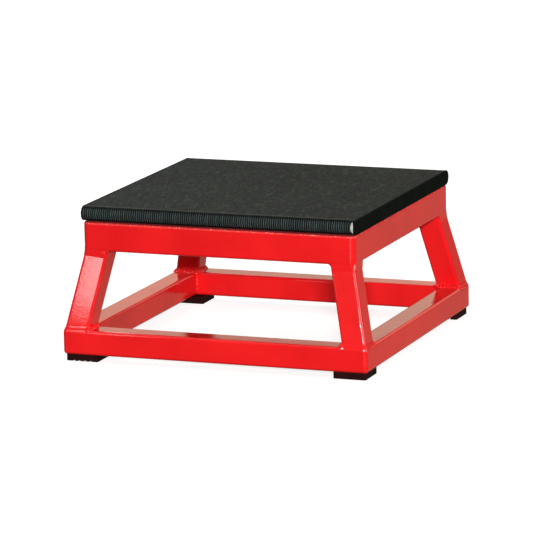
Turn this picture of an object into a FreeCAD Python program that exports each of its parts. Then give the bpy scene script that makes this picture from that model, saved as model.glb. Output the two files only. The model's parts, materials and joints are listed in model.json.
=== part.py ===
import FreeCAD, Part
import Sketcher
import os

from FreeCAD import Placement, Rotation, Vector

# Mounting block: a square deck on a welded frame of square tube, in millimetres.
# X runs to the right, -Y is the front, +Z is up and z = 0 is the floor under the feet.
# The frame has the same quarter on every corner, so a piece is drawn once, at the right
# or at the rear right, and a quarter turn about Z gives the others.

DIMENSIONS = [
    ("block_height", 310, "floor to the top of the tread mat"),
    ("base_outer", 646, "base ring across its outer faces"),
    ("top_outer", 576, "top ring across its outer faces"),
    ("tube_size", 50, "square tube of the base ring and the legs"),
    ("tube_wall", 2.5, "wall of every tube"),
    ("tube_round", 6, "outer corner radius of every tube"),
    ("apron_height", 60, "rectangular tube of the top ring, height"),
    ("apron_width", 50, "rectangular tube of the top ring, width"),
    ("base_corner", 8, "plan radius of the base ring's corners"),
    ("apron_corner", 12, "plan radius of the top ring's corners"),
    ("leg_top_inset", 2, "leg's outer corner inside the top ring's faces"),
    ("leg_foot_inset", 3, "leg's outer corner inside the base ring's faces"),
    ("leg_spare", 40, "leg tube left on at each end before it is mitred"),
    ("weld_leg", 6, "size of the fillet welds round the leg ends"),
    ("seam_weld", 4, "size of the upright weld in each inner corner of a ring"),
    ("foot_height", 14, "rubber foot, thickness"),
    ("foot_size", 68, "rubber foot, side"),
    ("foot_inset", 5, "foot inside the base ring's outer faces"),
    ("foot_corner", 4, "foot, corner radius"),
    ("tread_depth", 2, "depth of the grooves under a foot"),
    ("tread_groove", 4, "width of those grooves"),
    ("tread_pitch", 12, "spacing of those grooves"),
    ("recess_depth", 8, "pocket for a screw head under a foot"),
    ("recess_radius", 9, "radius of that pocket"),
    ("foot_screw_radius", 2.75, "screw that holds a foot, shank"),
    ("foot_screw_reach", 7, "how far it goes into the tube"),
    ("foot_head_radius", 6, "its pan head, radius"),
    ("foot_head_height", 4, "its pan head, height"),
    ("foot_washer_radius", 7.5, "its washer, radius"),
    ("foot_washer_thickness", 1.2, "its washer, thickness"),
    ("deck_thickness", 30, "board and mat together"),
    ("deck_overhang", 3, "deck beyond the top ring at the front and the rear"),
    ("side_overhang", 1.5, "deck beyond the top ring at each side"),
    ("mat_thickness", 3, "ribbed rubber mat"),
    ("mat_tuck", 22, "mat turned under the board, beyond the rounded edge"),
    ("trim_thickness", 3, "rubber trim on the deck's side edges"),
    ("gusset_size", 85, "corner gusset under the deck, along each rail"),
    ("gusset_tip", 12, "width left at a gusset's ends"),
    ("gusset_thickness", 4, "corner gusset, thickness"),
    ("gusset_hole_radius", 4.5, "screw hole in a gusset"),
    ("screw_edge", 18, "deck screw from the near rail"),
    ("screw_run", 48, "deck screw from the far rail"),
    ("deck_screw_radius", 4, "coach screw that holds the deck, shank"),
    ("deck_screw_reach", 20, "how far it goes into the board"),
    ("hex_radius", 7.5, "its hexagon head, across the corners, halved"),
    ("hex_height", 5.5, "its hexagon head, height"),
    ("deck_washer_radius", 8, "its washer, radius"),
    ("deck_washer_thickness", 1.6, "its washer, thickness"),
]

# Heights and half widths that follow from the sheet, as expressions on its cells.
BASE_TOP = "(dim.foot_height + dim.tube_size)"
BASE_HALF = "dim.base_outer / 2"
TOP_HALF = "dim.top_outer / 2"
DECK_BOTTOM = "(dim.block_height - dim.deck_thickness)"
APRON_BOTTOM = f"({DECK_BOTTOM} - dim.apron_height)"
LEG_RISE = f"({APRON_BOTTOM} - {BASE_TOP})"
LEG_SPREAD = f"({BASE_HALF} - dim.leg_foot_inset - {TOP_HALF} + dim.leg_top_inset)"
LEG_TILT = f"atan(sqrt(2) * {LEG_SPREAD} / {LEG_RISE})"
LEG_REACH = f"dim.tube_size / 2 / cos({LEG_TILT})"
LEG_FOOT = f"({BASE_HALF} - dim.leg_foot_inset - {LEG_REACH})"
LEG_TOP = f"({TOP_HALF} - dim.leg_top_inset - {LEG_REACH})"
DECK_HALF = f"({TOP_HALF} + dim.deck_overhang)"
BOARD_LENGTH = "(dim.top_outer + 2 * dim.side_overhang - 2 * dim.trim_thickness)"
RING_INSIDE = f"({TOP_HALF} - dim.apron_width)"
BASE_INSIDE = f"({BASE_HALF} - dim.tube_size)"
RAIL_CENTRE = f"({BASE_HALF} - dim.tube_size / 2)"

FOOT_GROOVES = 4
SIDES = ["right", "rear", "left", "front"]
CORNERS = ["rear_right", "rear_left", "front_left", "front_right"]

doc = FreeCAD.newDocument("mounting_block")
sheet = doc.addObject("Spreadsheet::Sheet", "dim")
for row, (alias, number, meaning) in enumerate(DIMENSIONS, start=1):
    sheet.set(f"A{row}", meaning)
    sheet.set(f"B{row}", str(number))
    sheet.setAlias(f"B{row}", alias)
doc.recompute()

nodes = []


def value(formula):
    """The number that an expression on the sheet gives."""
    return float(sheet.evalExpression(formula))


def bind(thing, **formulas):
    """Bind properties to expressions; x, y, z and angle are those of the placement."""
    paths = {"x": "Placement.Base.x", "y": "Placement.Base.y", "z": "Placement.Base.z"}
    paths["angle"] = "Placement.Rotation.Angle"
    for key, formula in formulas.items():
        thing.setExpression(paths.get(key, key), formula)


def node(thing, label):
    """Make a document object one of the named sub-parts."""
    thing.Label = label
    nodes.append(thing)
    return thing


def quarter_turn(count):
    return Placement(Vector(0, 0, 0), Rotation(Vector(0, 0, 1), 90 * count))


# ---------------------------------------------------------------- building blocks

def centred_rectangle(sketch, prefix, length, width):
    """A rectangle centred on the sketch's origin, with both sizes bound to the sheet."""
    half_length, half_width = value(length) / 2, value(width) / 2
    corners = [
        Vector(-half_length, -half_width, 0),
        Vector(half_length, -half_width, 0),
        Vector(half_length, half_width, 0),
        Vector(-half_length, half_width, 0),
    ]
    first = sketch.GeometryCount
    for index in range(4):
        sketch.addGeometry(Part.LineSegment(corners[index], corners[(index + 1) % 4]), False)
    for index in range(4):
        following = first + (index + 1) % 4
        sketch.addConstraint(Sketcher.Constraint("Coincident", first + index, 2, following, 1))
    for index in (0, 2):
        sketch.addConstraint(Sketcher.Constraint("Horizontal", first + index))
        sketch.addConstraint(Sketcher.Constraint("Vertical", first + index + 1))
    sketch.addConstraint(Sketcher.Constraint("Symmetric", first, 1, first + 2, 1, -1, 1))
    for name, kind, line, size in (
        ("length", "DistanceX", first, 2 * half_length),
        ("width", "DistanceY", first + 1, 2 * half_width),
    ):
        number = sketch.addConstraint(Sketcher.Constraint(kind, line, 1, line, 2, size))
        sketch.renameConstraint(number, f"{prefix}_{name}")
    bind(sketch, **{f"Constraints.{prefix}_length": length, f"Constraints.{prefix}_width": width})


def plane_of(body, role):
    return next(item for item in body.Origin.OriginFeatures if item.Role == role)


def new_sketch(body, name):
    """A sketch on a body's own ground plane."""
    sketch = body.newObject("Sketcher::SketchObject", name)
    sketch.AttachmentSupport = (plane_of(body, "XY_Plane"), [""])
    sketch.MapMode = "FlatFace"
    return sketch


def is_upright(edge):
    return isinstance(edge.Curve, Part.Line) and abs(edge.tangentAt(edge.FirstParameter).z) > 0.99


def is_level(edge):
    return edge.BoundBox.ZLength < 0.001


def round_edges(body, feature, name, radius, wanted):
    """Round the edges of a feature that a test picks out."""
    doc.recompute()
    edges = [f"Edge{i}" for i, edge in enumerate(feature.Shape.Edges, start=1) if wanted(edge)]
    fillet = body.newObject("PartDesign::Fillet", name)
    fillet.Base = (feature, edges)
    bind(fillet, Radius=radius)
    return fillet


def slab(name, length, width, height, corner=None, edge=None, edge_test=is_level, hole=None):
    """A padded rectangle centred on Z: corner rounds its uprights, edge its level edges.

    hole is the length and width of a rectangular opening through it.
    """
    body = doc.addObject("PartDesign::Body", name)
    sketch = new_sketch(body, f"{name}_outline")
    centred_rectangle(sketch, "outer", length, width)
    if hole:
        centred_rectangle(sketch, "hole", *hole)
    feature = body.newObject("PartDesign::Pad", f"{name}_pad")
    feature.Profile = sketch
    bind(feature, Length=height)
    if corner:
        reach = min(value(length), value(width)) / 2 - 1
        feature = round_edges(
            body, feature, f"{name}_corners", corner,
            lambda item: is_upright(item) and abs(item.CenterOfMass.x) > reach,
        )
    if edge:
        feature = round_edges(body, feature, f"{name}_edges", edge, edge_test)
    doc.recompute()
    return body


def box(name, length, width, height, x, y, z):
    """A plain box given by its sizes and its lowest corner."""
    thing = doc.addObject("Part::Box", name)
    bind(thing, Length=length, Width=width, Height=height, x=x, y=y, z=z)
    return thing


def cylinder(name, radius, height, x, y, z):
    """An upright cylinder given by the centre of its lower end."""
    thing = doc.addObject("Part::Cylinder", name)
    bind(thing, Radius=radius, Height=height, x=x, y=y, z=z)
    return thing


def lying_cylinder(name, radius, length, y, z):
    """A cylinder along X, centred on x = 0."""
    thing = doc.addObject("Part::Cylinder", name)
    thing.Placement = Placement(Vector(0, 0, 0), Rotation(Vector(0, 1, 0), 90))
    bind(thing, Radius=radius, Height=length, x=f"-{length} / 2", y=y, z=z)
    return thing


def cut(name, base, tool):
    thing = doc.addObject("Part::Cut", name)
    thing.Base, thing.Tool = base, tool
    return thing


def common(name, base, tool):
    thing = doc.addObject("Part::Common", name)
    thing.Base, thing.Tool = base, tool
    return thing


def fuse(name, pieces):
    thing = doc.addObject("Part::MultiFuse", name)
    thing.Shapes = pieces
    return thing


def group(name, pieces):
    """Separate solids kept as one sub-part."""
    thing = doc.addObject("Part::Compound", name)
    thing.Links = pieces
    return thing


def at_each_corner(name, make):
    """The same piece at the four corners, as separate solids of one sub-part."""
    pieces = []
    for count in range(4):
        piece = make(f"{name}_{count}")
        piece.Placement = quarter_turn(count)
        pieces.append(piece)
    return group(name, pieces)


# ---------------------------------------------------------------- tube rings

def ring_block(name, outer, tube_width, tube_height, corner, base_z, inset="0"):
    """A mitred ring of tube as a solid, or with an inset the hollow inside it."""
    outside = f"({outer} - 2 * {inset})"
    inside = f"({outer} - 2 * {tube_width} + 2 * {inset})"
    body = slab(
        name, outside, outside, f"({tube_height} - 2 * {inset})", f"({corner} - {inset})",
        f"(dim.tube_round - {inset})", hole=(inside, inside),
    )
    bind(body, z=f"{base_z} + {inset}")
    return body


def rails(prefix, ring, outer, base_z, height):
    """Divide a hollow ring along its mitres into four rails."""
    quadrant = box(f"{prefix}_quadrant", outer, outer, height, "0", "0", base_z)
    quadrant.Placement.Rotation = Rotation(Vector(0, 0, 1), -45)
    for count, side in enumerate(SIDES):
        rail = common(f"{prefix}_{side}", ring, quadrant)
        rail.Placement = quarter_turn(count)
        node(rail, f"{prefix}_{side}")


def base_ring():
    """Base ring of four mitred rails, with the holes that the foot screws bite into."""
    sizes = ("dim.base_outer", "dim.tube_size", "dim.tube_size", "dim.base_corner", "dim.foot_height")
    solid = ring_block("base_solid", *sizes)
    hollow = cut("base_tube", solid, ring_block("base_hollow", *sizes, inset="dim.tube_wall"))
    holes = foot_screw_parts("base_holes", "dim.foot_screw_radius", "dim.tube_wall", "dim.foot_height")
    drilled = cut("base_drilled", hollow, holes)
    rails("base_rail", drilled, "dim.base_outer", "dim.foot_height", "dim.tube_size")
    return solid


def top_ring():
    """Top ring of four mitred rails, the apron under the deck."""
    sizes = ("dim.top_outer", "dim.apron_width", "dim.apron_height", "dim.apron_corner", APRON_BOTTOM)
    solid = ring_block("apron_solid", *sizes)
    hollow = cut("apron_tube", solid, ring_block("apron_hollow", *sizes, inset="dim.tube_wall"))
    rails("apron", hollow, "dim.top_outer", APRON_BOTTOM, "dim.apron_height")
    return solid


# ---------------------------------------------------------------- legs

def leg_bar(name, size, corner):
    """A straight bar along the rear right leg, longer than the leg at both ends."""
    length = f"({LEG_RISE} / cos({LEG_TILT}) + 2 * dim.leg_spare)"
    body = slab(name, size, size, length, corner)
    body.Placement = Placement(Vector(0, 0, 0), Rotation(Vector(1, -1, 0), 10))
    foot = f"{LEG_FOOT} + dim.leg_spare * sin({LEG_TILT}) / sqrt(2)"
    bind(body, x=foot, y=foot, z=f"{BASE_TOP} - dim.leg_spare * cos({LEG_TILT})", angle=LEG_TILT)
    return body


def legs():
    """Four splayed legs of square tube, mitred level at both ends."""
    solid = leg_bar("leg_solid", "dim.tube_size", "dim.tube_round")
    hollow = leg_bar(
        "leg_hollow", "(dim.tube_size - 2 * dim.tube_wall)", "(dim.tube_round - dim.tube_wall)"
    )
    tube = cut("leg_tube", solid, hollow)
    between = box("leg_span", BASE_HALF, BASE_HALF, LEG_RISE, "0", "0", BASE_TOP)
    for count, corner in enumerate(CORNERS):
        leg = common(f"leg_{corner}", tube, between)
        leg.Placement = quarter_turn(count)
        node(leg, f"leg_{corner}")
    return solid


# ---------------------------------------------------------------- welds

def collar(name, centre, base_z, height, rounded_end):
    """A rounded block round a leg's end, from which its fillet weld is cut."""
    size = f"(2 * {LEG_REACH} + 2 * dim.weld_leg)"
    middle = value(height) / 2
    body = slab(
        name, size, size, height, "(dim.tube_round + dim.weld_leg)", "(dim.weld_leg - 1)",
        edge_test=lambda edge: is_level(edge) and (edge.CenterOfMass.z - middle) * rounded_end > 0,
    )
    bind(body, x=centre, y=centre, z=base_z)
    return body


def leg_weld(name, centre, collar_z, rounded_end, outline, ring, leg):
    """Fillet weld round a leg's end: a collar less the leg and the ring that it joins."""
    height = "(dim.tube_round + dim.weld_leg)"
    block = collar(f"{name}_collar", centre, collar_z, height, rounded_end)
    inside = common(f"{name}_inside", block, outline)
    solid = fuse(f"{name}_steel", [ring, leg])
    return node(at_each_corner(name, lambda one: cut(one, inside, solid)), name)


def corner_seams(name, inner, base_z, height, solid):
    """Upright weld in each inner corner of a ring, where two mitred rails meet."""
    long_bead = f"({height} - 2 * dim.tube_round)"
    bead = cylinder(f"{name}_bead", "dim.seam_weld", long_bead, inner, inner,
                    f"{base_z} + dim.tube_round")
    return node(at_each_corner(name, lambda one: cut(one, bead, solid)), name)


def welds(base_solid, apron_solid, leg_solid):
    base_outline = slab("base_outline", "dim.base_outer", "dim.base_outer", "dim.block_height",
                        "dim.base_corner")
    apron_outline = slab("apron_outline", "dim.top_outer", "dim.top_outer", "dim.block_height",
                         "dim.apron_corner")
    leg_weld("welds_leg_feet", LEG_FOOT, f"{BASE_TOP} - dim.tube_round", 1,
             base_outline, base_solid, leg_solid)
    leg_weld("welds_leg_tops", LEG_TOP, f"{APRON_BOTTOM} - dim.weld_leg", -1,
             apron_outline, apron_solid, leg_solid)
    corner_seams("welds_base_corners", BASE_INSIDE, "dim.foot_height", "dim.tube_size", base_solid)
    corner_seams("welds_apron_corners", RING_INSIDE, APRON_BOTTOM, "dim.apron_height", apron_solid)


# ---------------------------------------------------------------- gussets and deck screws

def deck_screw_parts(name, make):
    """Two pieces at each corner, one beside each rail, as separate solids."""
    near = f"({RING_INSIDE} - dim.screw_edge)"
    far = f"({RING_INSIDE} - dim.screw_run)"
    pieces = []
    for count in range(4):
        for index, (x, y) in enumerate(((near, far), (far, near))):
            piece = make(f"{name}_{count}_{index}", x, y)
            turned = group(f"{name}_{count}_{index}_turned", [piece])
            turned.Placement = quarter_turn(count)
            pieces.append(turned)
    return group(name, pieces)


def gusset_outline(name):
    """A triangular plate in the ring's inner corner, with blunt ends."""
    corner, size, tip = value(RING_INSIDE), value("dim.gusset_size"), value("dim.gusset_tip")
    far, near = corner - size, corner - tip
    points = [
        Vector(corner, corner, 0),
        Vector(far, corner, 0),
        Vector(far, near, 0),
        Vector(near, far, 0),
        Vector(corner, far, 0),
    ]
    body = doc.addObject("PartDesign::Body", name)
    sketch = new_sketch(body, f"{name}_outline")
    for index in range(5):
        sketch.addGeometry(Part.LineSegment(points[index], points[(index + 1) % 5]), False)
    for index in range(5):
        sketch.addConstraint(Sketcher.Constraint("Coincident", index, 2, (index + 1) % 5, 1))
    for index in (0, 3):
        sketch.addConstraint(Sketcher.Constraint("Horizontal", index))
        sketch.addConstraint(Sketcher.Constraint("Vertical", (index + 1) % 5))
    sizes = [
        ("corner_x", "DistanceX", (-1, 1, 0, 1), corner, RING_INSIDE),
        ("corner_y", "DistanceY", (-1, 1, 0, 1), corner, RING_INSIDE),
        ("along_x", "DistanceX", (0, 2, 0, 1), size, "dim.gusset_size"),
        ("along_y", "DistanceY", (4, 1, 4, 2), size, "dim.gusset_size"),
        ("tip_x", "DistanceX", (3, 1, 3, 2), tip, "dim.gusset_tip"),
        ("tip_y", "DistanceY", (1, 2, 1, 1), tip, "dim.gusset_tip"),
    ]
    for label, kind, places, size_now, formula in sizes:
        number = sketch.addConstraint(Sketcher.Constraint(kind, *places, size_now))
        sketch.renameConstraint(number, label)
        sketch.setExpression(f"Constraints.{label}", formula)
    pad = body.newObject("PartDesign::Pad", f"{name}_pad")
    pad.Profile = sketch
    bind(pad, Length="dim.gusset_thickness")
    bind(body, z=f"{DECK_BOTTOM} - dim.gusset_thickness")
    return body


def gussets(apron_solid):
    """Four drilled corner gussets under the deck, and the welds that hold them."""
    plate = gusset_outline("gusset_plate")
    holes = deck_screw_parts("gusset_holes", lambda name, x, y: cylinder(
        name, "dim.gusset_hole_radius", "dim.gusset_thickness", x, y,
        f"{DECK_BOTTOM} - dim.gusset_thickness"))
    for count, corner in enumerate(CORNERS):
        gusset = cut(f"gusset_{corner}", plate, holes)
        gusset.Placement = quarter_turn(count)
        node(gusset, f"gusset_{corner}")
    start = f"({RING_INSIDE} - dim.gusset_size)"
    bottom = f"({DECK_BOTTOM} - dim.gusset_thickness)"
    long_side = "(dim.gusset_size + dim.tube_round)"
    field = box("gusset_weld_field", long_side, long_side, "dim.gusset_thickness", start, start, bottom)
    middle = box("gusset_weld_middle", "dim.gusset_size", "dim.gusset_size", "dim.gusset_thickness",
                 start, start, bottom)
    taken = fuse("gusset_weld_taken", [middle, apron_solid])
    node(at_each_corner("welds_gussets", lambda one: cut(one, field, taken)), "welds_gussets")


def deck_screws():
    """Hexagon coach screws and washers that hold the board down on the gussets."""
    underside = f"({DECK_BOTTOM} - dim.gusset_thickness)"
    head_top = f"({underside} - dim.deck_washer_thickness)"
    shank = "(dim.deck_washer_thickness + dim.gusset_thickness + dim.deck_screw_reach)"

    def screw(name, x, y):
        head = doc.addObject("Part::Prism", f"{name}_head")
        head.Polygon = 6
        bind(head, Circumradius="dim.hex_radius", Height="dim.hex_height", x=x, y=y,
             z=f"{head_top} - dim.hex_height")
        return fuse(name, [head, cylinder(f"{name}_shank", "dim.deck_screw_radius", shank, x, y, head_top)])

    def washer(name, x, y):
        disc = cylinder(f"{name}_disc", "dim.deck_washer_radius", "dim.deck_washer_thickness", x, y, head_top)
        hole = cylinder(f"{name}_hole", "dim.deck_screw_radius", "dim.deck_washer_thickness", x, y, head_top)
        return cut(name, disc, hole)

    node(deck_screw_parts("deck_screws", screw), "deck_screws")
    node(deck_screw_parts("deck_washers", washer), "deck_washers")


# ---------------------------------------------------------------- deck

def stadium(name, length, thickness, half_depth, bottom):
    """A board along X whose front and rear edges are full half rounds."""
    radius = f"({thickness} / 2)"
    straight = f"({half_depth} - {radius})"
    middle = f"({bottom} + {radius})"
    core = box(f"{name}_core", length, f"(2 * {straight})", thickness,
               f"-{length} / 2", f"-{straight}", bottom)
    front = lying_cylinder(f"{name}_front", radius, length, f"-{straight}", middle)
    rear = lying_cylinder(f"{name}_rear", radius, length, straight, middle)
    return fuse(name, [core, front, rear])


def deck():
    """Plywood board, the ribbed mat wrapped round it front to rear, and the side trims."""
    straight = f"({DECK_HALF} - dim.deck_thickness / 2)"
    skin_free = "(dim.deck_thickness - 2 * dim.mat_thickness)"
    wrapped = stadium("mat_outside", BOARD_LENGTH, "dim.deck_thickness", DECK_HALF, DECK_BOTTOM)
    core = stadium("board_core", BOARD_LENGTH, skin_free, f"({DECK_HALF} - dim.mat_thickness)",
                   f"({DECK_BOTTOM} + dim.mat_thickness)")
    tucked = f"({straight} - dim.mat_tuck)"
    sole = box("board_sole", BOARD_LENGTH, f"(2 * {tucked})", "dim.mat_thickness",
               f"-{BOARD_LENGTH} / 2", f"-{tucked}", DECK_BOTTOM)
    board_blank = fuse("board_blank", [core, sole])
    node(cut("tread_mat", wrapped, board_blank), "tread_mat")
    pilot_holes = deck_screw_parts("board_holes", lambda name, x, y: cylinder(
        name, "dim.deck_screw_radius", "dim.deck_screw_reach", x, y, DECK_BOTTOM))
    node(cut("deck_board", board_blank, pilot_holes), "deck_board")
    for side, direction in (("right", 1), ("left", -1)):
        trim = stadium(f"deck_trim_{side}", "dim.trim_thickness", "dim.deck_thickness",
                       DECK_HALF, DECK_BOTTOM)
        trim.setExpression(
            "Placement.Base.x", f"{direction} * ({BOARD_LENGTH} + dim.trim_thickness) / 2")
        node(trim, f"deck_trim_{side}")


# ---------------------------------------------------------------- feet

def foot_screw_parts(name, radius, height, z):
    """Two cylinders at each corner, one under the middle of each rail."""
    along = f"({RAIL_CENTRE} - dim.foot_size / 2)"
    pieces = []
    for count in range(4):
        pair = [
            cylinder(f"{name}_{count}_x", radius, height, RAIL_CENTRE, along, z),
            cylinder(f"{name}_{count}_y", radius, height, along, RAIL_CENTRE, z),
        ]
        turned = group(f"{name}_{count}", pair)
        turned.Placement = quarter_turn(count)
        pieces.append(turned)
    return group(name, pieces)


def foot_blank():
    """A rubber foot with grooves underneath and two pockets for its screw heads."""
    centre = f"({BASE_HALF} - dim.foot_inset - dim.foot_size / 2)"
    pad = slab("foot_pad", "dim.foot_size", "dim.foot_size", "dim.foot_height", "dim.foot_corner")
    bind(pad, x=centre, y=centre)
    grooves = []
    for index in range(FOOT_GROOVES):
        steps = index - (FOOT_GROOVES - 1) / 2
        grooves.append(box(
            f"foot_groove_{index}", "dim.tread_groove", "dim.foot_size", "dim.tread_depth",
            f"{centre} + {steps} * dim.tread_pitch - dim.tread_groove / 2",
            f"{centre} - dim.foot_size / 2", "0",
        ))
    pockets = foot_screw_parts("foot_pockets", "dim.recess_radius", "dim.recess_depth", "0")
    holes = foot_screw_parts("foot_holes", "dim.foot_screw_radius", "dim.foot_height", "0")
    return cut("foot_blank", pad, fuse("foot_cuts", grooves + [pockets, holes]))


def feet():
    """Four rubber feet under the ring's corners, each held by two pan-head screws."""
    blank = foot_blank()
    for count, corner in enumerate(CORNERS):
        foot = group(f"foot_{corner}", [blank])
        foot.Placement = quarter_turn(count)
        node(foot, f"foot_{corner}")
    washer_z = "(dim.recess_depth - dim.foot_washer_thickness)"
    heads = foot_screw_parts("foot_screw_heads", "dim.foot_head_radius", "dim.foot_head_height",
                             f"{washer_z} - dim.foot_head_height")
    shank_length = f"(dim.foot_height + dim.foot_screw_reach - {washer_z})"
    shanks = foot_screw_parts("foot_screw_shanks", "dim.foot_screw_radius", shank_length, washer_z)
    node(fuse("foot_screws", [heads, shanks]), "foot_screws")
    discs = foot_screw_parts("foot_washer_discs", "dim.foot_washer_radius",
                             "dim.foot_washer_thickness", washer_z)
    node(cut("foot_washers", discs, shanks), "foot_washers")


# ---------------------------------------------------------------- build, check and write

base_solid = base_ring()
apron_solid = top_ring()
leg_solid = legs()
welds(base_solid, apron_solid, leg_solid)
gussets(apron_solid)
deck_screws()
deck()
feet()
doc.recompute()

for thing in doc.Objects:
    if {"Invalid", "Error"} & set(thing.State):
        raise RuntimeError(f"{thing.Label} failed: {thing.State}")
for thing in nodes:
    if thing.Shape.isNull() or not thing.Shape.isValid() or not thing.Shape.Solids:
        raise RuntimeError(f"{thing.Label} has no valid solid")

os.makedirs("parts", exist_ok=True)
for thing in nodes:
    thing.Shape.exportStep(f"parts/{thing.Label}.step")
    print(f"{thing.Label}: {len(thing.Shape.Solids)} solid(s), {thing.Shape.Volume / 1000:.1f} cm3")
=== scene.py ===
import json
import math
import random
from collections import namedtuple

import bmesh
import bpy
from mathutils import Matrix, Vector, noise

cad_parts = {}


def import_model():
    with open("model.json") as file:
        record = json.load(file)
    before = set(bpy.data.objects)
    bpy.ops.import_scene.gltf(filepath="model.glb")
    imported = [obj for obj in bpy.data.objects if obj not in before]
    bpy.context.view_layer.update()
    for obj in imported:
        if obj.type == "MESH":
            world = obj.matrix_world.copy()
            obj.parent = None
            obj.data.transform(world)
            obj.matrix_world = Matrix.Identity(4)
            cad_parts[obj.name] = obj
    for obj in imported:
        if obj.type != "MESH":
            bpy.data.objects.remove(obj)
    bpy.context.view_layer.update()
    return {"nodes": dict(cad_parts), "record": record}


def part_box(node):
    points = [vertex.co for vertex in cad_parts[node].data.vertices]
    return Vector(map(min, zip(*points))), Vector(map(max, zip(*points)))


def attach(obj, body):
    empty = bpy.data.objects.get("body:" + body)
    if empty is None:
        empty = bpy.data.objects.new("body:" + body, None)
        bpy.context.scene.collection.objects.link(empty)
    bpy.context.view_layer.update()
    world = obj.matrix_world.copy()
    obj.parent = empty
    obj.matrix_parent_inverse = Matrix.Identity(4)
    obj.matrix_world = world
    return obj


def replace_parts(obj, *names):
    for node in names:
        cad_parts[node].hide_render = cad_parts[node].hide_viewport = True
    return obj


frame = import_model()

NODES = frame["nodes"]
MM = 0.001
UP = Vector((0, 0, 1))

CORNERS = {
    "front_left": (-1, -1),
    "front_right": (1, -1),
    "rear_left": (-1, 1),
    "rear_right": (1, 1),
}


# ---------------------------------------------------------------- material helpers

class Shader:
    """A principled material and short calls for its nodes.

    Textures use object coordinates, which are metres in the block's own frame.
    """

    def __init__(self, name):
        self.material = bpy.data.materials.new(name)
        self.material.use_nodes = True
        self.tree = self.material.node_tree
        self.tree.nodes.clear()
        output = self.new("OutputMaterial")
        self.bsdf = self.new("BsdfPrincipled")
        self.tree.links.new(self.bsdf.outputs[0], output.inputs[0])
        self.place = self.new("TexCoord").outputs["Object"]
        self.normal = self.new("NewGeometry").outputs["Normal"]

    def new(self, kind):
        return self.tree.nodes.new("ShaderNode" + kind)

    def put(self, socket, source):
        """Set a socket to a number or a colour, or link another socket to it."""
        if isinstance(source, (int, float)):
            socket.default_value = source
        elif isinstance(source, tuple):
            socket.default_value = (*source, 1) if len(socket.default_value) == 4 else source
        else:
            self.tree.links.new(source, socket)

    def feed(self, **sockets):
        for name, source in sockets.items():
            self.put(self.bsdf.inputs[name.replace("_", " ")], source)

    def noise(self, scale, detail=3.0, rough=0.5):
        """Noise from 0 to 1; scale is features per metre, or one number for each axis."""
        node = self.new("TexNoise")
        node.inputs["Detail"].default_value = detail
        node.inputs["Roughness"].default_value = rough
        if isinstance(scale, tuple):
            mapping = self.new("Mapping")
            mapping.inputs["Scale"].default_value = scale
            self.put(mapping.inputs["Vector"], self.place)
            self.put(node.inputs["Vector"], mapping.outputs["Vector"])
            node.inputs["Scale"].default_value = 1.0
        else:
            self.put(node.inputs["Vector"], self.place)
            node.inputs["Scale"].default_value = scale
        return node.outputs["Fac"]

    def ramp(self, value, *stops):
        """Blend through stops of (position, colour or grey)."""
        node = self.new("ValToRGB")
        elements = node.color_ramp.elements
        while len(elements) < len(stops):
            elements.new(0.5)
        for element, (position, colour) in zip(elements, stops):
            element.position = position
            rgb = colour if isinstance(colour, tuple) else (colour,) * 3
            element.color = (*rgb, 1)
        self.put(node.inputs["Fac"], value)
        return node.outputs["Color"]

    def window(self, value, start, end):
        """0 below start, 1 above end."""
        node = self.new("MapRange")
        node.inputs["From Min"].default_value = start
        node.inputs["From Max"].default_value = end
        self.put(node.inputs["Value"], value)
        return node.outputs["Result"]

    def mix(self, share, first, second):
        node = self.new("Mix")
        node.data_type = "RGBA"
        self.put(node.inputs[0], share)
        self.put(node.inputs[6], first)
        self.put(node.inputs[7], second)
        return node.outputs[2]

    def times(self, first, second):
        return self.calculate("MULTIPLY", first, second)

    def axis(self, vector, name):
        node = self.new("SeparateXYZ")
        self.put(node.inputs[0], vector)
        return node.outputs[name]

    def calculate(self, operation, first, second=0.0):
        node = self.new("Math")
        node.operation = operation
        self.put(node.inputs[0], first)
        self.put(node.inputs[1], second)
        return node.outputs[0]

    def repeat(self, value, start, step):
        """A random number for each repeat along an axis, and the place in it from 0 to 1."""
        turns = self.calculate("DIVIDE", self.calculate("SUBTRACT", value, start), step)
        chance = self.new("TexWhiteNoise")
        chance.noise_dimensions = "1D"
        self.put(chance.inputs["W"], self.calculate("FLOOR", turns))
        return chance.outputs["Value"], self.calculate("FRACT", turns)

    def centred(self, value, middle):
        """Distance from a middle value."""
        return self.calculate("ABSOLUTE", self.calculate("SUBTRACT", value, middle))

    def edges(self, radius):
        """0 on flats, rising to 1 on edges sharper than a radius."""
        bevel = self.new("Bevel")
        bevel.samples = 4
        bevel.inputs["Radius"].default_value = radius
        dot = self.new("VectorMath")
        dot.operation = "DOT_PRODUCT"
        self.put(dot.inputs[0], bevel.outputs[0])
        self.put(dot.inputs[1], self.normal)
        return self.window(dot.outputs["Value"], 0.99, 0.90)

    def bump(self, height, distance, strength=1.0, below=None):
        node = self.new("Bump")
        node.inputs["Distance"].default_value = distance
        node.inputs["Strength"].default_value = strength
        self.put(node.inputs["Height"], height)
        if below is not None:
            self.put(node.inputs["Normal"], below)
        return node.outputs["Normal"]


# ---------------------------------------------------------------- materials

MAT_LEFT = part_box("tread_mat")[0].x
MAT_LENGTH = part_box("tread_mat")[1].x - MAT_LEFT
MAT_THICKNESS = 3 * MM
MAT_TUCK = 22 * MM
RIB_COUNT = round(MAT_LENGTH / (4.6 * MM))
RIB_STEP = MAT_LENGTH / RIB_COUNT
RIB_HEIGHT = 1.0 * MM
RIB_MIDDLE = 0.48
DECK_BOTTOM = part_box("tread_mat")[0].z
NOSE_RADIUS = (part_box("tread_mat")[1].z - DECK_BOTTOM) / 2
NOSE_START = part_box("tread_mat")[1].y - NOSE_RADIUS

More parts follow.
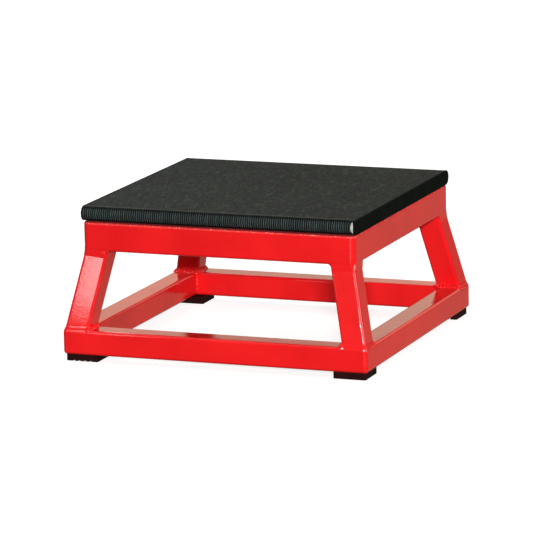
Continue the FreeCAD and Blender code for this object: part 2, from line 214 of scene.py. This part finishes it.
TOP_DARK = (0.0205, 0.0245, 0.0235)
TOP_LIGHT = (0.031, 0.0365, 0.0345)
TOP_SPECKLE = (0.009, 0.010, 0.009)
TOP_SCUFF = (0.078, 0.088, 0.076)
CREASE_WORN_AND_HIGHLIGHT = (0.075, 0.080, 0.073)
SHADE_AND_REFLECTION_BLACK = (0.0020, 0.0025, 0.0025)
RIB_DARK = (0.032, 0.047, 0.046)
RIB_LIGHT = (0.056, 0.076, 0.074)
RIB_SOILED = (0.018, 0.026, 0.025)
# Where each of the mat's colours fades in over a nose, in nose radii past the nose's start.
WORN_AND_HIGHLIT_CREASE = (-0.3, 0.0)
DARK_REFLECTION_LINE = (0.16, 0.30)
RUBBED_RIBS = (0.60, 0.76)
# The heights between which the rubbed ribs fade into painted shade, black towards the mat's bottom
# edge where the nose turns under.
SHADED_BOTTOM_BAND = (DECK_BOTTOM + 6 * MM, DECK_BOTTOM + 3 * MM)

RED_DEEP = (0.71, 0.0075, 0.0105)
RED_BRIGHT = (0.82, 0.0115, 0.0135)
RED_WORN = (0.80, 0.16, 0.12)
RED_RUBBED_AND_HIGHLIGHT = (0.95, 0.34, 0.26)
RED_GRIME = (0.30, 0.012, 0.010)
RED_PAINTED_SHADE = (0.05, 0.004, 0.004)
DUST = (0.60, 0.46, 0.40)
APRON_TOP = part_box("apron_front")[1].z
# Depths below the apron's top edge between which each of these fades in.
DULL_BAND = (6.5 * MM, 5 * MM)
PAINTED_SHADE_LINE = (3.2 * MM, 1.8 * MM)
RUBBED_HIGHLIGHT_ABOVE = (5 * MM, 4 * MM)
RUBBED_HIGHLIGHT_BELOW = (1.5 * MM, 2.5 * MM)
DULL_ROUGHNESS = 0.6


def red_paint(name, sag):
    """Glossy red powder coat: orange peel, cloudy shade, chipped edges and a film of dust.

    Close under the mat it is dull, with a line of painted shade and rubbed specks that carry a
    painted highlight.
    """
    s = Shader(name)
    shade = s.ramp(s.noise(9, 4), (0.32, RED_DEEP), (0.68, RED_BRIGHT))
    grain = s.window(s.noise(380, 2), 0.58, 0.74)
    shade = s.mix(s.times(grain, 0.22), shade, RED_GRIME)
    chips = s.times(s.edges(1.6 * MM), s.window(s.noise(170, 3, 0.6), 0.56, 0.66))
    shade = s.mix(s.times(chips, 0.75), shade, RED_WORN)
    depth = s.calculate("SUBTRACT", APRON_TOP, s.axis(s.place, "Z"))
    # Painted shade: a dark line along the apron's top edge, where the mat's nose shades it.
    shade = s.mix(s.times(s.window(depth, *PAINTED_SHADE_LINE), 0.8), shade, RED_PAINTED_SHADE)
    # Bright specks along the apron's top edge: rubbed paint, and a painted highlight where the gloss
    # is dulled.
    band = s.times(s.window(depth, *RUBBED_HIGHLIGHT_ABOVE), s.window(depth, *RUBBED_HIGHLIGHT_BELOW))
    rubbed_and_highlight = s.times(band, s.window(s.noise((210, 210, 420), 3, 0.6), 0.57, 0.63))
    shade = s.mix(s.times(rubbed_and_highlight, 0.6), shade, RED_RUBBED_AND_HIGHLIGHT)
    level = s.window(s.axis(s.normal, "Z"), 0.80, 0.98)
    film = s.times(level, s.window(s.noise(30, 5, 0.65), 0.40, 0.75))
    shade = s.mix(s.times(film, 0.08), shade, DUST)
    s.feed(Base_Color=shade, Metallic=0.0, IOR=1.5)
    gloss = s.ramp(s.noise(120, 4, 0.6), (0.30, 0.06), (0.72, 0.15))
    s.feed(Roughness=s.mix(s.window(depth, *DULL_BAND), gloss, (DULL_ROUGHNESS,) * 3))
    peel = s.bump(s.noise(230, 2), 0.34 * MM, 0.5)
    s.feed(Normal=s.bump(s.noise(38, 2), 0.7 * MM, sag, below=peel))
    return s.material


def mat_rubber():
    """Black ribbed matting: dusty grey top, a worn crease with a painted highlight, a black line of
    painted dark reflection, rubbed ribs on the noses, and painted shade in the grooves and towards
    the bottom edge.
    """
    s = Shader("mat_rubber")
    beyond = s.calculate("ABSOLUTE", s.axis(s.place, "Y"))
    beyond = s.calculate("DIVIDE", s.calculate("SUBTRACT", beyond, NOSE_START), NOSE_RADIUS)
    tone = s.ramp(s.noise(5, 5, 0.6), (0.30, TOP_DARK), (0.75, TOP_LIGHT))
    speckle = s.window(s.noise((230, 55, 55), 4, 0.65), 0.44, 0.62)
    tone = s.mix(s.times(speckle, 0.80), tone, TOP_SPECKLE)
    scuff = s.window(s.noise((150, 40, 40), 4, 0.65), 0.54, 0.70)
    tone = s.mix(s.times(scuff, 0.60), tone, TOP_SCUFF)
    # Wear and a painted highlight along the crease where the top turns over the nose.
    tone = s.mix(s.times(s.window(beyond, *WORN_AND_HIGHLIT_CREASE), 0.6), tone, CREASE_WORN_AND_HIGHLIGHT)
    # Painted dark reflection: a black line where the nose curves sharply under the crease.
    tone = s.mix(s.window(beyond, *DARK_REFLECTION_LINE), tone, SHADE_AND_REFLECTION_BLACK)
    tone = s.mix(s.window(beyond, *RUBBED_RIBS), tone, rubbed_ribs(s))
    # Painted shade: black towards the mat's bottom edge.
    tone = s.mix(s.window(s.axis(s.place, "Z"), *SHADED_BOTTOM_BAND), tone, SHADE_AND_REFLECTION_BLACK)
    s.feed(Base_Color=tone, Metallic=0.0, IOR=1.45, Specular_IOR_Level=0.13)
    s.feed(Roughness=s.ramp(s.noise(90, 4), (0.30, 0.62), (0.75, 0.82)))
    s.feed(Normal=s.bump(s.noise(1300, 2), 0.12 * MM, 0.5))
    return s.material


def rubbed_ribs(s):
    """Colour of the noses: each rib's top rubbed more or less grey, the grooves unworn black with
    painted shade.
    """
    chance, across = s.repeat(s.axis(s.place, "X"), MAT_LEFT, RIB_STEP)
    rib = s.ramp(chance, (0.10, RIB_DARK), (0.90, RIB_LIGHT))
    patch = s.window(s.noise((90, 60, 120), 3), 0.36, 0.62)
    rib = s.mix(s.times(patch, 0.35), rib, RIB_SOILED)
    # Painted shade in the grooves, on top of their unworn black.
    groove = s.window(s.centred(across, RIB_MIDDLE), 0.19, 0.28)
    return s.mix(groove, rib, SHADE_AND_REFLECTION_BLACK)


def smooth_rubber(name, tone, rough):
    """Moulded black rubber with a faint mould texture and pale scuffs."""
    s = Shader(name)
    dark = tuple(0.75 * part for part in tone)
    light = tuple(1.4 * part for part in tone)
    shade = s.ramp(s.noise(30, 4), (0.30, dark), (0.75, light))
    scuff = s.window(s.noise((60, 60, 260), 5, 0.7), 0.62, 0.74)
    shade = s.mix(s.times(scuff, 0.16), shade, (0.10, 0.09, 0.085))
    shade = s.mix(s.times(s.edges(1.0 * MM), 0.08), shade, (0.14, 0.12, 0.11))
    s.feed(Base_Color=shade, Metallic=0.0, IOR=1.5, Specular_IOR_Level=0.02)
    s.feed(Roughness=s.ramp(s.noise(200, 3), (0.30, rough - 0.07), (0.75, rough + 0.08)))
    s.feed(Normal=s.bump(s.noise(1000, 2), 0.10 * MM, 0.45))
    return s.material


def plywood():
    """Sealed birch face veneer with its grain along X."""
    s = Shader("plywood")
    figure = s.noise((2.2, 55, 55), 6, 0.62)
    pores = s.noise((60, 1400, 1400), 3, 0.6)
    tone = s.ramp(figure, (0.30, (0.42, 0.27, 0.15)), (0.52, (0.60, 0.43, 0.27)),
                  (0.72, (0.68, 0.52, 0.35)))
    tone = s.mix(s.times(s.window(pores, 0.56, 0.70), 0.45), tone, (0.28, 0.17, 0.09))
    s.feed(Base_Color=tone, Metallic=0.0, IOR=1.45)
    s.feed(Roughness=s.ramp(figure, (0.30, 0.42), (0.70, 0.58)))
    s.feed(Normal=s.bump(pores, 0.2 * MM, 0.4))
    return s.material


def zinc():
    """Zinc-plated steel, slightly cloudy."""
    s = Shader("zinc")
    tone = s.ramp(s.noise(260, 4), (0.30, (0.48, 0.48, 0.45)), (0.70, (0.66, 0.66, 0.62)))
    s.feed(Base_Color=tone, Metallic=1.0)
    s.feed(Roughness=s.ramp(s.noise(600, 3), (0.30, 0.26), (0.70, 0.42)))
    s.feed(Normal=s.bump(s.noise(900, 2), 0.05 * MM, 0.4))
    return s.material


def pale_backing():
    """The mat's pale woven backing, seen where its cut end gapes."""
    s = Shader("pale_backing")
    tone = s.ramp(s.noise(420, 4), (0.34, (0.30, 0.31, 0.28)), (0.66, (0.62, 0.64, 0.58)))
    s.feed(Base_Color=tone, Metallic=0.0, IOR=1.45)
    s.feed(Roughness=s.ramp(s.noise(300, 2), (0.3, 0.62), (0.7, 0.80)))
    s.feed(Normal=s.bump(s.noise((1600, 1600, 700), 2), 0.2 * MM, 0.7))
    return s.material


MATERIALS = {
    "frame_red": red_paint("frame_red", sag=0.04),
    "weld_red": red_paint("weld_red", sag=0.30),
    "mat_rubber": mat_rubber(),
    "trim_rubber": smooth_rubber("trim_rubber", (0.0028, 0.0044, 0.0034), 0.60),
    # The feet's red tint is a painted reflection of the red frame on black rubber.
    "foot_rubber": smooth_rubber("foot_rubber", (0.0190, 0.0046, 0.0045), 0.50),
    "plywood": plywood(),
    "zinc": zinc(),
    "pale_backing": pale_backing(),
}


def paint_frame():
    """Give every CAD node the material of its slot."""
    for row in frame["record"]["subparts"]:
        mesh = NODES[row["node"]].data
        mesh.materials.clear()
        mesh.materials.append(MATERIALS[row["material_slot"]])


# ---------------------------------------------------------------- mesh helpers

def new_piece(name, work, look, sharp=40.0):
    """Turn a bmesh into a piece that rides on the block, smooth but for sharp edges."""
    bmesh.ops.recalc_face_normals(work, faces=work.faces)
    mesh = bpy.data.meshes.new(name)
    work.to_mesh(mesh)
    work.free()
    mesh.shade_smooth()
    mesh.set_sharp_from_angle(angle=math.radians(sharp))
    mesh.materials.append(MATERIALS[look])
    thing = bpy.data.objects.new(name, mesh)
    bpy.context.scene.collection.objects.link(thing)
    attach(thing, "root")
    return thing


def sweep(work, sections, closed):
    """Join equal rings of points into a tube, capped at its ends unless it is closed."""
    rings = [[work.verts.new(point) for point in section] for section in sections]
    pairs = list(zip(rings, rings[1:]))
    if closed:
        pairs.append((rings[-1], rings[0]))
    for ring, following in pairs:
        for index in range(len(ring)):
            after = (index + 1) % len(ring)
            work.faces.new((ring[index], ring[after], following[after], following[index]))
    if not closed:
        work.faces.new(rings[0])
        work.faces.new(rings[-1])


# ---------------------------------------------------------------- ribbed mat

# One rib: (share of the pitch, share of the rib's height).
RIB_SECTION = (
    (0.0, 0.0),
    (0.14, 0.05),
    (0.22, 0.75),
    (0.32, 1.0),
    (0.64, 1.0),
    (0.74, 0.75),
    (0.82, 0.05),
)
NOSE_STEPS = 18
TOP_STEPS = 10
# Where the mat's cut end gapes at the front right corner, as angles up the front nose.
GAPE_LOW = math.radians(-56)
GAPE_HIGH = math.radians(58)
GAPE_WIDTH = 6.2 * MM
GAPE_FROM_END = 3.1 * MM
GAPE_DEPTH = 1.3 * MM
BACKING_ACROSS = 10
BACKING_ALONG = 22
BACKING_TIP = 0.03
BACKING_SUNK = 0.35 * MM
BACKING_BULGE = 0.95 * MM
BACKING_FRAY = 0.22 * MM
BACKING_BURIED = 0.9 * MM


def gape_width(angle):
    """Half width of the gape at an angle up the nose: a lens with pointed ends."""
    share = (angle - GAPE_LOW) / (GAPE_HIGH - GAPE_LOW)
    if not 0 < share < 1:
        return 0.0
    return GAPE_WIDTH / 2 * math.sin(math.pi * share) ** 0.8


def mat_path(low, high):
    """The mat's wrap from the front tuck to the rear tuck, as (point, outward) in Y and Z."""
    radius = (high.z - low.z) / 2
    middle = (high.z + low.z) / 2
    front, rear = low.y + radius, high.y - radius
    down = (0.0, -1.0)
    path = [(front + MAT_TUCK, low.z, down), (front + MAT_TUCK / 2, low.z, down)]
    for nose, start in ((front, 1.5), (rear, 0.5)):
        for step in range(NOSE_STEPS + 1):
            angle = math.pi * (start - step / NOSE_STEPS)
            out = (math.cos(angle), math.sin(angle))
            path.append((nose + radius * out[0], middle + radius * out[1], out))
        if nose == front:
            for step in range(1, TOP_STEPS):
                path.append((front + (rear - front) * step / TOP_STEPS, high.z, (0.0, 1.0)))
    path += [(rear - MAT_TUCK / 2, low.z, down), (rear - MAT_TUCK, low.z, down)]
    return path


def ribbed_mat():
    """The mat as one C-shaped sheet with ribs running front to rear and round both noses."""
    low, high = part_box("tread_mat")
    path = mat_path(low, high)
    columns = [
        (low.x + (rib + share) * RIB_STEP, RIB_HEIGHT * (1 - lift))
        for rib in range(RIB_COUNT)
        for share, lift in RIB_SECTION
    ]
    columns.append((high.x, RIB_HEIGHT))
    gape_x = high.x - GAPE_FROM_END
    work = bmesh.new()
    sections = []
    for x, sunk in columns:
        outside, inside = [], []
        for y, z, (out_y, out_z) in path:
            angle = math.atan2(out_z, -out_y)
            gaping = out_y < 0 and abs(x - gape_x) < gape_width(angle)
            depth = GAPE_DEPTH if gaping else sunk
            outside.append((x, y - depth * out_y, z - depth * out_z))
            inside.append((x, y - MAT_THICKNESS * out_y, z - MAT_THICKNESS * out_z))
        sections.append(outside + inside[::-1])
    sweep(work, sections, closed=False)
    mat = new_piece("ribbed_mat", work, "mat_rubber")
    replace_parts(mat, "tread_mat")


def gape_backing():
    """The pale backing that bulges out of the gape at the front right corner."""
    low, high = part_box("tread_mat")
    radius = (high.z - low.z) / 2
    middle = (high.z + low.z) / 2
    front = low.y + radius
    centre = high.x - GAPE_FROM_END
    work = bmesh.new()
    sections = []
    for step in range(BACKING_ALONG + 1):
        way = BACKING_TIP + (1 - 2 * BACKING_TIP) * step / BACKING_ALONG
        angle = GAPE_LOW + (GAPE_HIGH - GAPE_LOW) * way
        half = gape_width(angle)
        top, bottom = [], []
        for index in range(BACKING_ACROSS + 1):
            share = 2 * index / BACKING_ACROSS - 1
            fray = BACKING_FRAY * noise.noise(Vector((share * 3, angle * 9, 0.5)))
            depth = BACKING_SUNK + BACKING_BULGE * share * share - fray
            for points, sunk in ((top, depth), (bottom, GAPE_DEPTH + BACKING_BURIED)):
                reach = radius - sunk
                points.append((centre + half * share, front - reach * math.cos(angle),
                               middle + reach * math.sin(angle)))
        sections.append(top + bottom[::-1])
    sweep(work, sections, closed=False)
    new_piece("mat_gape_backing", work, "pale_backing")


# ---------------------------------------------------------------- welds

# The bead's size, its margin at the outer corner, the height it is dressed over, the share
# of that height kept on the ring's face, and the lumps at its inner corner and their radius.
LegWeld = namedtuple("LegWeld", "size corner_margin height hold lumps lump_radius")
FOOT_WELD = LegWeld(size=6.5 * MM, corner_margin=3.4 * MM, height=7 * MM, hold=0.0, lumps=12,
                    lump_radius=5.0 * MM)
TOP_WELD = LegWeld(size=3.6 * MM, corner_margin=0.3 * MM, height=18 * MM, hold=0.6, lumps=2,
                   lump_radius=2.6 * MM)
BEAD_BULGE = 0.08
SEAM_WELD = 2.4 * MM
SEAM_TAPER = 4 * MM
SEAM_TIP = 0.45
RIPPLE = 4.4 * MM
RIPPLE_LOW = 0.86
RIPPLE_RISE = 0.26
WELD_STEP = 0.8 * MM
BURIED = 1.2 * MM
SECTION_STEPS = 6
DRESSED_BELOW = 6.5 * MM
LEAN_REACH = 60 * MM
OFF_END = 1 * MM
LUMP_RUN = 14 * MM
# How many steps along a bead its direction is taken over.
BEAD_REACH = 3
# How squarely a bead's side must face the corner, as a cosine, to be ground flush, and to
# be ground to the margin of the outer corner.
FLUSH_SIDES = (0.10, 0.62)
FLUSH_CORNER = (0.72, 0.98)


def outline_at(node, height):
    """The outer outline of a CAD tube cut level at a height, as points in order."""
    work = bmesh.new()
    work.from_mesh(NODES[node].data)
    bmesh.ops.remove_doubles(work, verts=work.verts, dist=0.01 * MM)
    everything = list(work.verts) + list(work.edges) + list(work.faces)
    bmesh.ops.bisect_plane(work, geom=everything, dist=0.001 * MM, plane_co=(0, 0, height),
                           plane_no=(0, 0, 1), clear_inner=True, clear_outer=True)
    bmesh.ops.remove_doubles(work, verts=work.verts, dist=0.01 * MM)
    loops = []
    unused = set(work.verts)
    while unused:
        ahead = unused
        loop = []
        while ahead:
            vert = min(ahead, key=by_place)
            unused.discard(vert)
            loop.append(vert.co.copy())
            neighbours = [edge.other_vert(vert) for edge in vert.link_edges]
            ahead = [other for other in neighbours if other in unused]
        loops.append(loop)
    work.free()
    return max(loops, key=lambda points: max(p.x for p in points) - min(p.x for p in points))


def by_place(vert):
    """Sorting key that is the same on every run."""
    return round(vert.co.x, 6), round(vert.co.y, 6)


def middle_of(points):
    """The middle of an outline's box."""
    return Vector(tuple((min(axis) + max(axis)) / 2 for axis in zip(*points)))


def resample(points, step, closed):
    """Points a step apart along a run of straight lines."""
    ends = points + points[:1] if closed else points
    lengths = [(b - a).length for a, b in zip(ends, ends[1:])]
    count = round(sum(lengths) / step)
    result = []
    index, walked = 0, 0.0
    for number in range(count + (0 if closed else 1)):
        target = sum(lengths) * number / count
        while index < len(lengths) - 1 and walked + lengths[index] < target:
            walked += lengths[index]
            index += 1
        share = (target - walked) / lengths[index] if lengths[index] else 0.0
        result.append(ends[index].lerp(ends[index + 1], min(share, 1.0)))
    return result


def ripples(count, step, rng):
    """Height factors along a bead: one rounded scale after another, of uneven size."""
    factors = []
    start, length, height = 0.0, RIPPLE, 1.0
    for number in range(count):
        while number * step > start + length:
            start += length
            length = RIPPLE * rng.uniform(0.75, 1.25)
            height = rng.uniform(0.86, 1.16)
        share = (number * step - start) / length
        factors.append(height * (RIPPLE_LOW + RIPPLE_RISE * math.sin(math.pi * share ** 0.7)))
    return factors


def fillet(size, bulge):
    """A fillet's section as (out from the wall, up the wall), with its buried back."""
    section = [(-BURIED, -BURIED), (size, -BURIED)]
    for step in range(SECTION_STEPS + 1):
        share = step / SECTION_STEPS
        swell = bulge * math.sin(math.pi * share)
        section.append((size * (1 - share + swell), size * (share + swell)))
    section.append((-BURIED, size))
    return section


def dressed(margin, weld):
    """The section of a weld ground flush: on the ring's face for a share, then in to the leg's."""
    section = [(-BURIED, -DRESSED_BELOW), (margin / 2 - BURIED / 2, -DRESSED_BELOW)]
    for step in range(SECTION_STEPS + 1):
        share = step / SECTION_STEPS
        ease = smooth_step(share, weld.hold, 1.0)
        section.append((margin * (1 - ease), weld.height * share - DRESSED_BELOW * (1 - share)))
    section.append((-BURIED, weld.height))
    return section


def smooth_step(value, start, end):
    share = min(1.0, max(0.0, (value - start) / (end - start)))
    return share * share * (3 - 2 * share)


def kept_inside(point, face):
    """A point held within a ring's outer faces."""
    point.x = min(face, max(-face, point.x))
    point.y = min(face, max(-face, point.y))
    return point


def leg_bead(work, path, weld, rise, lean, corner, face, rng):
    """A rippled fillet round a leg's end, ground flush on the two outer sides."""
    centre = middle_of(path)
    sway = Vector((*corner, 0)).normalized()
    margin = face - max(abs(point.x) for point in path)
    factors = ripples(len(path), WELD_STEP, rng)
    sections = []
    for index, point in enumerate(path):
        before = path[index - BEAD_REACH]
        after = path[(index + BEAD_REACH) % len(path)]
        out = (after - before).cross(UP).normalized()
        if out.dot(point - centre) < 0:
            out = -out
        outer = out.dot(sway)
        flush = smooth_step(outer, *FLUSH_SIDES)
        reach = margin + (weld.corner_margin - margin) * smooth_step(outer, *FLUSH_CORNER)
        bead = fillet(weld.size * factors[index], BEAD_BULGE)
        section = []
        for (a, b), (c, d) in zip(bead, dressed(reach, weld)):
            along = a + (c - a) * flush
            above = b + (d - b) * flush
            place = point + out * along + (lean if above > 0 else rise) * above
            section.append(kept_inside(place, face))
        sections.append(section)
    sweep(work, sections, closed=True)


def blob(work, place, radius, rng):
    """A lump of weld spatter: a squashed ball with a rough skin."""
    seed = Vector((rng.uniform(0, 50), rng.uniform(0, 50), rng.uniform(0, 50)))
    ball = bmesh.ops.create_icosphere(work, subdivisions=3, radius=radius)
    squash = Vector((rng.uniform(0.8, 1.2), rng.uniform(0.8, 1.2), rng.uniform(0.65, 0.9)))
    for vert in ball["verts"]:
        swell = 1 + 0.22 * noise.noise(vert.co / radius * 1.3 + seed)
        vert.co = place + vert.co * squash * swell


def leg_welds(name, replaced, weld, ring, height, rise):
    """The fillets at one end of all four legs, with lumps where a bead stopped."""
    rng = random.Random(name)
    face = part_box(f"{ring}_right")[1].x - 0.05 * MM
    work = bmesh.new()
    for where, corner in CORNERS.items():
        node = f"leg_{where}"
        near = outline_at(node, height + rise.z * OFF_END)
        beyond = outline_at(node, height + rise.z * LEAN_REACH)
        lean = (middle_of(beyond) - middle_of(near)) / (LEAN_REACH - OFF_END)
        path = resample([point - lean * OFF_END for point in near], WELD_STEP, closed=True)
        leg_bead(work, path, weld, rise, lean, corner, face, rng)
        inward = Vector((-corner[0], -corner[1], 0))
        tip = max(path, key=lambda point: point.dot(inward))
        for number in range(weld.lumps):
            run = rng.uniform(-LUMP_RUN, 2 * MM)
            edge = rng.uniform(-1.5 * MM, 2.5 * MM)
            steps = (run, edge) if number % 2 else (edge, run)
            place = tip + Vector((steps[0] * inward.x, steps[1] * inward.y, 0))
            radius = weld.lump_radius * rng.uniform(0.65, 1.25)
            blob(work, place + rise * rng.uniform(-1 * MM, 2 * MM), radius, rng)
    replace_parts(new_piece(name, work, "weld_red"), replaced)


def seam_welds(name, replaced):
    """Upright rippled beads in the four inner corners of a ring."""
    rng = random.Random(name)
    low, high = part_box(replaced)
    work = bmesh.new()
    for corner in CORNERS.values():
        start = Vector((corner[0] * high.x, corner[1] * high.y, low.z))
        end = Vector((start.x, start.y, high.z))
        path = resample([start, end], WELD_STEP, closed=False)
        factors = ripples(len(path), WELD_STEP, rng)
        out = Vector((-corner[0], 0, 0))
        side = Vector((0, -corner[1], 0))
        sections = []
        for index, point in enumerate(path):
            from_end = min(index, len(path) - 1 - index) * WELD_STEP
            taper = min(1.0, SEAM_TIP + from_end / SEAM_TAPER)
            size = SEAM_WELD * factors[index] * taper
            sections.append([point + out * a + side * b for a, b in fillet(size, 0.0)])
        sweep(work, sections, closed=False)
    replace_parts(new_piece(name, work, "weld_red"), replaced)


def welds():
    base_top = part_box("base_rail_front")[1].z
    apron_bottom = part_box("apron_front")[0].z
    leg_welds("leg_foot_beads", "welds_leg_feet", FOOT_WELD, "base_rail", base_top, UP)
    leg_welds("leg_top_beads", "welds_leg_tops", TOP_WELD, "apron", apron_bottom, -UP)
    seam_welds("base_corner_beads", "welds_base_corners")
    seam_welds("apron_corner_beads", "welds_apron_corners")


# ---------------------------------------------------------------- camera

CAMERA_AZIMUTH = 21.06
CAMERA_ELEVATION = 11.74
CAMERA_ROLL = -1.13
CAMERA_DISTANCE = 8.155
CAMERA_LENS = 266.25
CAMERA_SENSOR = 36
CAMERA_TARGET = Vector((0.0004, 0, 0.1386))


def towards(azimuth, elevation):
    """Unit vector from the block, azimuth 0 to the front and 90 to the right."""
    azimuth, elevation = math.radians(azimuth), math.radians(elevation)
    level = math.cos(elevation)
    return Vector((math.sin(azimuth) * level, -math.cos(azimuth) * level, math.sin(elevation)))


def camera():
    back = towards(CAMERA_AZIMUTH, CAMERA_ELEVATION)
    lens = bpy.data.cameras.new("camera")
    lens.lens = CAMERA_LENS
    lens.sensor_width = CAMERA_SENSOR
    lens.clip_end = 200
    view = bpy.data.objects.new("camera", lens)
    bpy.context.scene.collection.objects.link(view)
    view.location = CAMERA_TARGET + back * CAMERA_DISTANCE
    turn = (-back).to_track_quat("-Z", "Y").to_matrix().to_4x4()
    roll = Matrix.Rotation(math.radians(CAMERA_ROLL), 4, "Z")
    view.rotation_euler = (turn @ roll).to_euler()
    bpy.context.scene.camera = view


# ---------------------------------------------------------------- studio

FLOOR_HALF = 60.0
# The card is a wedge on the floor between two azimuths from its apex.
CARD_APEX = Vector((0.33, -0.37, 0))
CARD_AZIMUTHS = (7, 19)
CARD_LENGTH = 3.0
CARD_HEIGHT = 2 * MM
LIGHTS_AIM = (0, 0, 0.15)
WORLD_TINT = (1.0, 0.97, 0.74)
# Brightness of the surroundings from front to rear, and from below to above, each as
# (place from 0 to 1, brightness).
WORLD_DEPTH = ((0.0, 0.28), (0.25, 0.20), (0.55, 0.16), (0.85, 0.60), (1.0, 0.95))
WORLD_HEIGHT = (
    (0.0, 0.33),
    (0.46, 0.36),
    (0.50, 0.12),
    (0.55, 0.12),
    (0.585, 1.0),
    (0.68, 1.0),
    (0.80, 0.6),
)


def softbox(name, place, aim, width, height, power, gloss_only=False):
    data = bpy.data.lights.new(name, "AREA")
    data.shape = "RECTANGLE"
    data.size, data.size_y = width, height
    data.energy = power
    lamp = bpy.data.objects.new(name, data)
    bpy.context.scene.collection.objects.link(lamp)
    lamp.location = place
    lamp.rotation_euler = (Vector(aim) - Vector(place)).to_track_quat("-Z", "Y").to_euler()
    lamp.visible_camera = False
    lamp.visible_diffuse = not gloss_only


def stage_sheet(name, outline, height, colour, glow):
    """A flat, level sheet with a glow of its own."""
    mesh = bpy.data.meshes.new(name)
    mesh.from_pydata([(x, y, height) for x, y in outline], [], [range(len(outline))])
    thing = bpy.data.objects.new(name, mesh)
    bpy.context.scene.collection.objects.link(thing)
    material = bpy.data.materials.new(name)
    material.use_nodes = True
    shader = material.node_tree.nodes["Principled BSDF"]
    shader.inputs["Base Color"].default_value = (*colour, 1)
    shader.inputs["Roughness"].default_value = 0.9
    shader.inputs["Specular IOR Level"].default_value = 0.0
    shader.inputs["Emission Color"].default_value = (1, 1, 1, 1)
    shader.inputs["Emission Strength"].default_value = glow
    mesh.materials.append(material)
    return thing


def floor():
    """A pale floor that the paint's gloss doesn't mirror, and a card that it does."""
    square = [(-FLOOR_HALF, -FLOOR_HALF), (FLOOR_HALF, -FLOOR_HALF),
              (FLOOR_HALF, FLOOR_HALF), (-FLOOR_HALF, FLOOR_HALF)]
    sheet = stage_sheet("floor", square, height=0.0, colour=(0.50, 0.50, 0.50), glow=0.76)
    sheet.visible_glossy = False
    sheet.visible_diffuse = False
    ends = [CARD_APEX + towards(azimuth, 0) * CARD_LENGTH for azimuth in CARD_AZIMUTHS]
    wedge = [point.xy for point in (CARD_APEX, *ends)]
    card = stage_sheet("floor_card", wedge, height=CARD_HEIGHT, colour=(0, 0, 0), glow=2.4)
    card.visible_camera = False
    card.visible_diffuse = False
    card.visible_shadow = False


def world():
    """White to the camera; in light and gloss, warm grey with a dark band at the horizon."""
    surroundings = bpy.data.worlds.new("studio")
    surroundings.use_nodes = True
    tree = surroundings.node_tree
    background = tree.nodes["Background"]

    def new(kind):
        return tree.nodes.new("ShaderNode" + kind)

    def ramp(value, stops):
        node = new("ValToRGB")
        elements = node.color_ramp.elements
        while len(elements) < len(stops):
            elements.new(0.5)
        for element, (position, grey) in zip(elements, stops):
            element.position = position
            element.color = (grey, grey, grey, 1)
        tree.links.new(value, node.inputs["Fac"])
        return node.outputs["Color"]

    def spread(value):
        node = new("MapRange")
        node.inputs["From Min"].default_value = -1
        tree.links.new(value, node.inputs["Value"])
        return node.outputs["Result"]

    def mix(first, blend):
        node = new("Mix")
        node.data_type = "RGBA"
        node.blend_type = blend
        node.inputs[0].default_value = 1.0
        tree.links.new(first, node.inputs[6])
        return node

    axes = new("SeparateXYZ")
    tree.links.new(new("TexCoord").outputs["Generated"], axes.inputs[0])
    product = mix(ramp(spread(axes.outputs["Y"]), WORLD_DEPTH), "MULTIPLY")
    tree.links.new(ramp(spread(axes.outputs["Z"]), WORLD_HEIGHT), product.inputs[7])
    warmed = mix(product.outputs[2], "MULTIPLY")
    warmed.inputs[7].default_value = (*WORLD_TINT, 1)
    seen = mix(warmed.outputs[2], "MIX")
    tree.links.new(new("LightPath").outputs["Is Camera Ray"], seen.inputs[0])
    seen.inputs[7].default_value = (1, 1, 1, 1)
    tree.links.new(seen.outputs[2], background.inputs["Color"])
    background.inputs["Strength"].default_value = 1.0
    bpy.context.scene.world = surroundings


def lights():
    softbox("key", towards(21.5, 15) * 14, LIGHTS_AIM, width=1.6, height=0.4, power=2050)
    softbox("side", towards(82, 12) * 5, LIGHTS_AIM, width=2.0, height=2.0, power=80)
    softbox("behind", towards(224, 36) * 5, LIGHTS_AIM, width=2.5, height=2.5, power=95)
    softbox("above", towards(-60, 70) * 4, LIGHTS_AIM, width=2.5, height=2.5, power=18)
    # A small box for the front left leg's face to mirror.
    softbox("leg_strip", (-0.51, -1.0, 0.345), (-0.29, -0.29, 0.16),
            width=0.12, height=0.23, power=0.74, gloss_only=True)


def studio():
    bpy.context.scene.view_settings.view_transform = "Standard"
    lights()
    world()
    floor()
    camera()


paint_frame()
ribbed_mat()
gape_backing()
welds()
studio()
